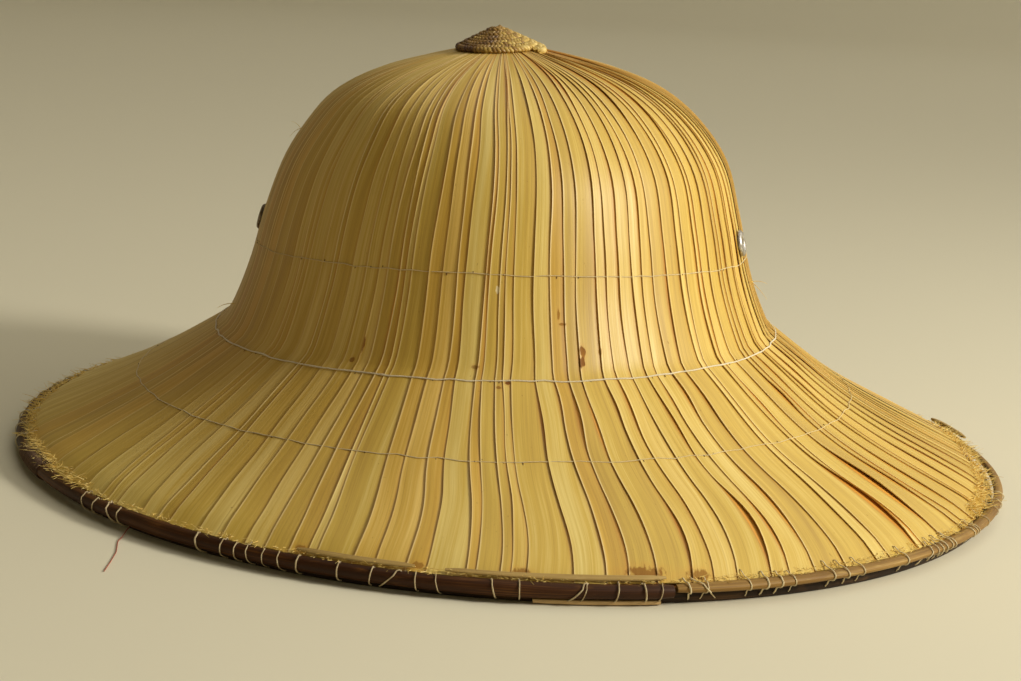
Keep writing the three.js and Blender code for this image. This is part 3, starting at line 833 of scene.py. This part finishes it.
cane_bottom = rim_low.z
left_section = split_cane_section(cane_bottom, RIM_TOP - cane_bottom, 0, CANE_THICK)
right_section = split_cane_section(RIM_TOP - THIN_CANE_HEIGHT, THIN_CANE_HEIGHT, 0, CANE_THICK)
left_cane = cane("rim_cane_dark", left_section, BREAK + JOINT, SPLICE + 360 - JOINT, 0.06, taper=0.2)
right_cane = cane(
    "rim_cane_brown", right_section, SPLICE + JOINT, BREAK - JOINT, 0.07, taper=0.2, thin_from=THIN_FROM
)
dress(left_cane, dark_cane, "dark_cane", "rim_cane_left")
dress(right_cane, brown_cane, "brown_cane", "rim_cane_right")
hoop_section = rounded_section(0, HOOP_HEIGHT, HOOP_OUTER, HOOP_THICK)
dress(cane("rim_hoop", hoop_section, 0, 360, 0.0), black_cane, "black_cane", "rim_hoop_lower")
lath_section = rounded_section(LATH_SEAT, LATH_THICK, HOOP_OUTER, LATH_WIDTH, BRIM_SLOPE)
for name, node, start, end in LATHS:
    dress(cane(name, lath_section, start, end, 0.1, taper=0.5), lath_cane, "pale_cane", node)
# A short length of the broken outer cane is left, and stands on the dark cane's end.
loose_end = rounded_section(RIM_TOP + 0.3 * MM, 1.5 * MM, 0.1 * MM, SPLINT_THICK)
dress(cane("broken_cane_end", loose_end, *BROKEN_END, 0.15, taper=0.4), lath_cane, "brown_cane")
splint_section = rounded_section(0.3 * MM, 1.4 * MM, HOOP_OUTER - SPLINT_OUT, SPLINT_THICK)
dress(cane("splint", splint_section, *SPLINT, 0.05, taper=0.1), pale_cane, "pale_cane", "rim_splint")

# Binding threads
# Loops of pale thread bind the canes to the strips' ends. Along the front they sit where hand
# stitching left them, in degrees. The rest of the way round they follow at the same pace.
FRONT_BINDINGS = [
    *(-138, -136, -131.7, -120.7, -117.8, -116.2, -114.8, -113.1, -111.4, -109.5, -105.4, -102.2),
    *(-97.9, -95.9, -90.7, -88.3, -82.3, -79.2, -76.5, -75, -72.1, -70.5, -65.9, -64.1, -62.5),
    *(-60.9, -56.2, -54.2, -52.2, -45.6, -41.6, -40, -39, -38, -37, -36, -31, -30.2, -29.4, -26),
]
SLANTED_BINDINGS = [(-100.5, 1.3), (-70.0, -1.4), (-83.0, 1.2), (-133.2, -1.0)]  # and their slants
BACK_BINDINGS = (-21.0, 200)
BACK_BINDING_STEP = 4.3
UNBOUND = (-14, 34)  # there the thread is gone
CLOSE_BINDING = dict(start=-158, end=-149.5, step=0.45, thick=0.42 * MM)
BINDING_THICK = 0.42 * MM
BINDING_STEPS = 30
# A loop in mm inwards and up: through the strips, over them and the cane, and back below.
LOOP_TOP = [(8.6, 1.6), (8.6, 5), (7.7, 8.7), (4.6, 7.5), (1.7, 7.0)]
LEFT_LOOP = LOOP_TOP + [(-0.15, 5.6), (-0.15, 3.2), (1.4, 1.7), (4.6, 0.5), (7.2, 0.5)]
RIGHT_LOOP = LOOP_TOP + [(-0.15, 5.8), (0.3, 4.2), (2.4, 3.5), (3.7, 1.4), (7.2, 0.5)]
LOOP_OVER = 6  # mm up, above which a loop may reach less far in


def smooth_loop(corners, steps):
    """A closed Catmull-Rom curve through corner points."""
    corners = np.array(corners, float)
    t = np.linspace(0, len(corners), steps, endpoint=False)
    i = t.astype(int)
    f = (t - i)[:, None]
    a, b, c, d = (corners[(i + k) % len(corners)] for k in (-1, 0, 1, 2))
    straight = 2 * b + (c - a) * f
    return 0.5 * (straight + (2 * a - 5 * b + 4 * c - d) * f**2 + (3 * b - a - 3 * c + d) * f**3)


def binding_path(degrees, slant, reach):
    """One loop round the rim canes, tipped by some degrees from its top to its bottom."""
    loop = smooth_loop(LEFT_LOOP if degrees < SPLICE or degrees > BREAK else RIGHT_LOOP, BINDING_STEPS)
    inwards, height = loop[:, 0], loop[:, 1]
    drawn = np.where(height > LOOP_OVER, 1.7 + (inwards - 1.7) * reach, inwards)
    drop = np.where(height > LOOP_OVER, (inwards - drawn) * BRIM_SLOPE, 0)
    lean = slant * (height - 4) / 4
    return on_rim(degrees + lean, drawn * MM, (height - drop) * MM)


def tie(name, paths, thick, rightward, material, slot):
    """Loops of thread along paths round the rim."""
    radial = paths.mean(axis=1, keepdims=True) * [1, 1, 0]
    facing = np.cross(radial / np.linalg.norm(radial, axis=-1, keepdims=True), [0, 0, 1])
    points = tube_points(paths, thick, facing, THREAD_SIDES)
    rightward = np.broadcast_to(rightward, points.shape[:3])
    loops = lofted(name, points, closed=True, place=points * 1500, rightward=rightward)
    dress(loops, material, slot)


bindings = [(angle, chance.normal(0, 0.25)) for angle in FRONT_BINDINGS] + SLANTED_BINDINGS
degrees = BACK_BINDINGS[0]
while degrees < BACK_BINDINGS[1]:
    if not UNBOUND[0] < degrees < UNBOUND[1]:
        bindings.append((degrees, chance.normal(0, 0.3)))
    degrees += BACK_BINDING_STEP * chance.uniform(0.5, 1.4)
reaches = [chance.uniform(0.1, 0.5) if at < SPLICE else chance.uniform(0.5, 0.95) for at, _ in bindings]
paths = np.array([binding_path(at, slant, reach) for (at, slant), reach in zip(bindings, reaches)])
thick = BINDING_THICK * chance.uniform(0.7, 1.25, (len(paths), 1))
# Loops on the left get the darker colour, as painted shade away from the key light.
on_right = np.array([0.9 if at > SPLICE else 0.1 for at, _ in bindings])[:, None, None]
binding_thread = thread_finish("binding_thread", (0.3, 0.2, 0.09), (0.78, 0.66, 0.4))
tie("binding_threads", paths, thick, on_right, binding_thread, "leaf_strips")

close_at = np.arange(CLOSE_BINDING["start"], CLOSE_BINDING["end"], CLOSE_BINDING["step"])
paths = np.array([binding_path(at, 0.0, 0.5) for at in close_at])
close_thread = thread_finish("close_binding_thread", (0.06, 0.03, 0.015), (0.22, 0.13, 0.07))
tie("close_bindings", paths, CLOSE_BINDING["thick"], 0.0, close_thread, "dark_cane")

# Crown button
# A plaited straw cord, wound and sewn into a low cone that hides the strips' upper ends. Its outer
# end stands a little off at the front right.
BUTTON_TURNS = 5.6
BUTTON_AHEAD = 6.0 * MM  # its edge is an oval set forward of the crown's top and a little to the right
BUTTON_ASIDE = 1.5 * MM
BUTTON_TIP_ASIDE = 2.4 * MM
PLAIT_STEP = 4.6 * MM  # length in which a straw crosses the cord and comes back
PLAIT_STEPS = 11  # points drawn in that length
STRAW_THICK = 1.5 * MM
STRAW_SWAY = 1.25 * MM
STRAW_RISE = 0.5 * MM
STRAW_SIDES = 7
SWAY_DIP = 0.38  # the cord lies on the cone's slope
CORD_STOPS = 0.992  # of the way to the tip
CORD_LIFT = 1.0 * MM  # its middle over the crown at the button's edge
TIP_DROP = 3.2 * MM
CORD_END_ANGLE = math.radians(-28)
LOOSE_SHARE = 0.012  # of the cord, at its outer end
LOOSE_OUT = 0.5 * MM
LOOSE_DOWN = 0.2 * MM

button_low, button_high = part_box("crown_button")
button_seat = on_hat(0, TOP_AT, 0)
cord_half = STRAW_SWAY + 0.5 * STRAW_THICK
coil_wide = (button_high.x - button_low.x) / 2 - cord_half + 0.8 * MM
coil_long = (button_high.y - button_low.y) / 2 - cord_half
tip_height = button_high.z - button_seat[2] - TIP_DROP
cord_length = math.pi * BUTTON_TURNS * (coil_wide + coil_long) / 2
plait_count = cord_length / PLAIT_STEP
steps = int(plait_count * PLAIT_STEPS)
wound = 1 - np.sqrt(1 - np.linspace(0, CORD_STOPS, steps))
loose = np.exp(-((wound / LOOSE_SHARE) ** 2))
turn = CORD_END_ANGLE + 2 * math.pi * BUTTON_TURNS * wound
edge_x = coil_wide * np.cos(turn) - BUTTON_ASIDE
edge_y = coil_long * np.sin(turn) - BUTTON_AHEAD
levels = np.linspace(FOLD_AT, TOP_AT, 400)
top_roundness = CROWN_ROWS[-2]["wide"] * CROWN_HALF_WIDTH / (CROWN_ROWS[-2]["long"] * CROWN_HALF_LENGTH)
edge_radius = np.hypot(edge_x, edge_y * top_roundness)
crown_under = np.interp(edge_radius, follow(0, levels)[::-1], follow(2, levels)[::-1])
edge_height = crown_under - follow(2, TOP_AT) + CORD_LIFT
straws = []
for straw in range(3):
    phase = 2 * math.pi * (plait_count * np.linspace(0, 1, steps) + straw / 3)
    sway = STRAW_SWAY * np.sin(phase) * (1 - 0.4 * wound) * (1 - 0.2 * np.sin(turn))
    rise = STRAW_RISE * np.sin(2 * phase)
    out = sway + LOOSE_OUT * loose
    x = edge_x * (1 - wound) + out * np.cos(turn) - BUTTON_TIP_ASIDE * wound
    y = edge_y * (1 - wound) + out * np.sin(turn)
    height = edge_height + (tip_height - edge_height) * wound - SWAY_DIP * sway + rise - LOOSE_DOWN * loose
    lean_x = x * math.cos(CROWN_LEAN) - height * math.sin(CROWN_LEAN)
    lean_z = x * math.sin(CROWN_LEAN) + height * math.cos(CROWN_LEAN)
    straws.append(button_seat + np.stack([lean_x, y, lean_z], axis=-1))
straws = np.array(straws)
points = tube_points(straws, STRAW_THICK, np.array([0.0, 0.0, 1.0]), STRAW_SIDES)
number = np.broadcast_to(np.arange(3)[:, None, None], points.shape[:3])
length = np.broadcast_to((np.linspace(0, 1, steps) * cord_length)[None, :, None], points.shape[:3])
ring = np.broadcast_to(np.linspace(0, 3 * MM, STRAW_SIDES), points.shape[:3])
place = np.stack([ring, length, number + 0.0], axis=-1)
rightward = (points[..., 0] - button_seat[0]) / coil_wide
button = lofted("plaited_button", points, place=place, rightward=rightward)

plait, tree = new_finish("plaited_straw")
where = attribute(tree, "place", "Vector")
fibre = streaks(where, (2600, 160, 3))
patch = streaks(where, (30, 120, 17), 3)
# Painted shade: the cord is darker towards the button's left, away from the key light.
tone_value = (patch * 1.9 + fibre * 0.4 + attribute(tree, "rightward") * 0.34 - 0.66).clamped()
colour = ramp(
    tone_value,
    (0.05, (0.1, 0.04, 0.012)),
    (0.4, (0.33, 0.185, 0.04)),
    (0.7, (0.58, 0.4, 0.095)),
    (1.0, (0.78, 0.6, 0.22)),
)
relief = relief_of(fibre, 0.4, 0.15 * MM)
set_shader(plait, {"Base Color": colour, "Roughness": 0.55 - 0.15 * fibre, "Normal": relief})
dress(button, plait, "plaited_straw", "crown_button")

# Eyelets
# A pressed metal eyelet in each side of the crown lets air out: a domed flange on the outside, a
# barrel through the wall and a rolled flange inside.
EYELETS = [
    # angle in degrees, and height in shares of the crown's
    dict(
        name="vent_eyelet_right",
        node="eyelet_right",
        angle=-16,
        up=0.34,
        dark_stop=(0.3, 0.26, 0.2),
        bright=(0.62, 0.6, 0.56),
    ),
    # The left eyelet's colours are painted darker than the right one's, as shade on the crown's left.
    dict(
        name="vent_eyelet_left",
        node="eyelet_left",
        angle=181,
        up=0.36,
        dark_stop=(0.12, 0.08, 0.045),
        bright=(0.26, 0.2, 0.13),
    ),
]
EYELET_RADIUS = 4.75 * MM
EYELET_BORE = 2.2 * MM  # this and EYELET_BACK are radii too
EYELET_METAL = 0.5 * MM
EYELET_BACK = 4.0 * MM
EYELET_DOME = 1.1 * MM
EYELET_OUTSIDE = 1.35 * MM  # the flanges' seats, out from the form of the crown
EYELET_INSIDE = -1.9 * MM
EYELET_ROUND = 0.3 * MM
EYELET_SIDES = 48

dome = np.linspace(0, math.pi, 12)
middle = (EYELET_RADIUS + EYELET_BORE) / 2
half = (EYELET_RADIUS - EYELET_BORE) / 2
profile = [(middle + half * math.cos(a), EYELET_OUTSIDE + EYELET_DOME * math.sin(a)) for a in dome]
profile += [
    (EYELET_BORE, 0.0),
    (EYELET_BORE, EYELET_INSIDE - EYELET_ROUND),
    (EYELET_BORE + EYELET_ROUND, EYELET_INSIDE - EYELET_METAL),
    (EYELET_BACK - 0.2 * MM, EYELET_INSIDE - EYELET_METAL),
    (EYELET_BACK, EYELET_INSIDE - EYELET_ROUND),
    (EYELET_BACK - 0.1 * MM, EYELET_INSIDE),
    (EYELET_BORE + EYELET_METAL, EYELET_INSIDE),
    (EYELET_BORE + EYELET_METAL, EYELET_OUTSIDE),
]


def eyelet_finish(name, dark_stop, bright):
    """Pressed metal with patches of tarnish."""
    metal, tree = new_finish(name)
    where = attribute(tree, "place", "Vector")
    tarnish = tree.node("TexNoise", {}, {"Vector": where, "Scale": 0.9, "Detail": 4.0})
    colour = ramp(tarnish, (0.35, dark_stop), (0.6, bright))
    relief = relief_of(tarnish, 0.2, 0.1 * MM)
    set_shader(metal, {"Base Color": colour, "Roughness": 0.55 - 0.3 * tarnish, "Normal": relief})
    set_shader(metal, {"Metallic": 0.9})
    return metal


for eyelet in EYELETS:
    angle = math.radians(eyelet["angle"])
    z = FOLD_HEIGHT + CROWN_HEIGHT * eyelet["up"]
    levels = np.linspace(FOLD_AT, TOP_AT, 400)
    at = levels[np.searchsorted(follow(2, levels), z)]
    seat = on_hat(angle, at, 0)
    round_way = on_hat(angle + 0.02, at, 0) - on_hat(angle - 0.02, at, 0)
    up_way = on_hat(angle, at + 2 * MM, 0) - on_hat(angle, at - 2 * MM, 0)
    axis = np.cross(round_way, up_way)
    axis /= np.linalg.norm(axis)
    round_way /= np.linalg.norm(round_way)
    up_way = np.cross(axis, round_way)
    turn = np.linspace(0, 2 * math.pi, EYELET_SIDES, endpoint=False)[:, None, None]
    spoke = np.cos(turn) * round_way + np.sin(turn) * up_way
    radius, height = (np.array(part)[None, :, None] for part in zip(*profile))
    points = (seat + radius * spoke + height * axis)[None]
    piece = lofted(eyelet["name"], points, closed=True, place=points * 1000)
    metal = eyelet_finish(eyelet["name"], eyelet["dark_stop"], eyelet["bright"])
    dress(piece, metal, "eyelet_metal", eyelet["node"])

# Loose straw
# Fibres torn from the strips' cut ends stand out along the rim, thickest at the left and where the
# strips are broken short at the right. A few longer hairs hang from the crown.
FIBRE_STEPS = 7
FIBRE_SEAT = 3.6 * MM  # inwards from the rim's outer edge
FIBRE_THICK = (0.12, 0.34)  # mm
HAIR_SAG = -2.5 * MM
FIBRE_BANDS = [
    # where along the rim in degrees, how many, and their greatest length and spread inwards in mm
    dict(start=-205, end=-140, count=900, length=4.5, spread=3.2),
    dict(start=-140, end=-72, count=420, length=2.4, spread=1.6),
    dict(start=-72, end=-24, count=360, length=2.6, spread=1.8),
    dict(start=-26, end=14, count=1150, length=4.5, spread=4.5),
    dict(start=14, end=155, count=420, length=3.5, spread=2.0),
]
HAIRS = [
    # start on the crown in degrees and mm up from the rim, then the way it points in mm
    dict(angle=-176, along=160, away=(-3.5, -1, 5)),
    dict(angle=-178, along=160, away=(-4.5, 1, -1)),
    dict(angle=-168, along=94, away=(-6, -2, 1)),
    dict(angle=-12, along=108, away=(7, -1, -4)),
    dict(angle=-8, along=106, away=(6, 1, 2)),
]

paths = []
for band in FIBRE_BANDS:
    for _ in range(band["count"]):
        at = chance.uniform(band["start"], band["end"])
        short = broken_back(math.radians(at))
        inwards = FIBRE_SEAT + short + chance.uniform(-0.3, 1.0) * band["spread"] * MM
        height = RIM_TOP + 0.2 * MM + (inwards - HOOP_OUTER) * BRIM_SLOPE
        start = on_rim(at, inwards, np.array(height))
        length = chance.uniform(0.25, 1.0) * band["length"] * MM
        out = np.array([math.cos(math.radians(at)), math.sin(math.radians(at)), 0.0])
        along_rim = np.array([-out[1], out[0], 0.0])
        way = out * chance.normal(0.35, 0.5) + along_rim * chance.normal(0, 0.8)
        way = way + np.array([0, 0, abs(chance.normal(0.05, 0.14))])
        bend = chance.normal(0, 0.5, 3) * [1, 1, 0.4]
        t = np.linspace(0, 1, FIBRE_STEPS)[:, None]
        paths.append(start + length * (way / np.linalg.norm(way) * t + bend * t**2 * 0.7))
for hair in HAIRS:
    start = on_hat(math.radians(hair["angle"]), hair["along"] * MM, FREE_LIFT * 0.8)
    t = np.linspace(0, 1, FIBRE_STEPS)[:, None]
    sag = np.array([0, 0, HAIR_SAG]) * t**2
    paths.append(start + np.array(hair["away"]) * MM * t + sag)
paths = np.array(paths)
taper = 1 - 0.7 * np.linspace(0, 1, FIBRE_STEPS)
thick = chance.uniform(*FIBRE_THICK, (len(paths), 1)) * MM * taper
points = tube_points(paths, thick, np.array([0.21, 0.33, 0.92]), 4)
number = np.broadcast_to(np.arange(len(paths))[:, None, None] * 0.31, points.shape[:3])
place = np.stack([points[..., 0], points[..., 2], number], axis=-1)
fibres = lofted("loose_straw", points, place=place)
straw_fibre, tree = new_finish("straw_fibre")
tone_value = streaks(attribute(tree, "place", "Vector"), (300, 300, 5), 3)
colour = ramp(
    tone_value,
    (0.3, (0.62, 0.36, 0.06)),
    (0.5, (0.82, 0.6, 0.16)),
    (0.7, (0.93, 0.76, 0.32)),
)
set_shader(straw_fibre, {"Base Color": colour, "Roughness": 0.9 - 0.4 * tone_value})
dress(fibres, straw_fibre, "leaf_strips")

# Red thread
# One loose end of dull red thread hangs out from under the left of the rim and trails on the floor.
RED_THREAD_THICK = 0.3 * MM
RED_THREAD = [
    # degrees along the rim, then outwards and height in mm
    dict(at=-130.6, out=-3.0, up=2.2),
    dict(at=-130.0, out=0.5, up=1.5),
    dict(at=-129.3, out=4.0, up=0.5),
    dict(at=-128.7, out=7.3, up=0.25),
    dict(at=-126.3, out=14.9, up=0.25),
    dict(at=-124.6, out=22.7, up=0.25),
    dict(at=-123.1, out=30.7, up=0.25),
]

knots = [on_rim(knot["at"], -knot["out"] * MM, np.array(knot["up"] * MM)) for knot in RED_THREAD]
knots = np.array(knots)
fine = np.linspace(0, len(knots) - 1, 40)
path = np.stack([np.interp(fine, np.arange(len(knots)), knots[:, k]) for k in range(3)], axis=-1)
path[1:-1] = (path[:-2] + 2 * path[1:-1] + path[2:]) / 4
points = tube_points(path[None], RED_THREAD_THICK, np.array([0.0, 0.0, 1.0]), THREAD_SIDES)
red_values = dict(place=points * 1500, rightward=np.full(points.shape[:3], 0.4))
red_thread = thread_finish("red_thread", (0.2, 0.03, 0.015), (0.45, 0.1, 0.05))
dress(lofted("red_thread_end", points, **red_values), red_thread, "leaf_strips")

# Floor and light
# A wide pale sweep: a floor that turns up all round, far from the hat. A very large soft lamp hangs
# over it, a smaller one stands at the front right, and a faint warm light comes from everywhere.
SWEEP_COLOUR = (0.75, 0.7, 0.53)
SWEEP_FLAT = 4.0  # radius
SWEEP_BEND = 2.0
SWEEP_BEND_STEPS = 24
SWEEP_WALL = 2.5
SWEEP_SIDES = 96
LAMP_AIM = (0, 0, 0.07)
FAINT_LIGHT = (1.0, 0.72, 0.44)
FAINT_STRENGTH = 0.02

outline = [(0.001, 0.0), (1.0, 0.0), (SWEEP_FLAT, 0.0)]
for step in range(1, SWEEP_BEND_STEPS + 1):
    turn = math.radians(90 * step / SWEEP_BEND_STEPS)
    outline.append((SWEEP_FLAT + SWEEP_BEND * math.sin(turn), SWEEP_BEND * (1 - math.cos(turn))))
outline.append((SWEEP_FLAT + SWEEP_BEND, SWEEP_BEND + SWEEP_WALL))
turns = np.linspace(0, 2 * math.pi, SWEEP_SIDES, endpoint=False)
corners = [(r * math.cos(turn), r * math.sin(turn), z) for r, z in outline for turn in turns]
index = np.arange(len(corners)).reshape(len(outline), SWEEP_SIDES)
beside = np.roll(index, -1, axis=1)
faces = np.stack([index[:-1], beside[:-1], beside[1:], index[1:]], axis=-1).reshape(-1, 4).tolist()
faces.append(index[0].tolist())
sweep_mesh = bpy.data.meshes.new("sweep")
sweep_mesh.from_pydata(corners, [], faces)
sweep_mesh.shade_smooth()
sweep = bpy.data.objects.new("sweep", sweep_mesh)
bpy.context.scene.collection.objects.link(sweep)
sweep_finish, tree = new_finish("sweep")
set_shader(sweep_finish, {"Base Color": (*SWEEP_COLOUR, 1), "Roughness": 0.9})
sweep_mesh.materials.append(sweep_finish)


def lamp(name, position, size, power, colour):
    """A square soft lamp that faces the hat."""
    light = bpy.data.lights.new(name, "AREA")
    light.size = size
    light.energy = power
    light.color = colour
    holder = bpy.data.objects.new(name, light)
    holder.location = position
    holder.rotation_euler = (Vector(LAMP_AIM) - Vector(position)).to_track_quat("-Z", "Y").to_euler()
    bpy.context.scene.collection.objects.link(holder)


lamp("key", position=(1.15, -0.4, 0.68), size=0.3, power=15.5, colour=(1.0, 0.955, 0.86))
lamp("overhead", position=(2.3, 0.9, 3.0), size=8.0, power=162, colour=(1.0, 0.95, 0.83))
world = bpy.data.worlds.new("studio")
world.use_nodes = True
background = world.node_tree.nodes["Background"]
background.inputs["Color"].default_value = (*FAINT_LIGHT, 1)
background.inputs["Strength"].default_value = FAINT_STRENGTH
bpy.context.scene.world = world
bpy.context.scene.view_settings.view_transform = "Standard"
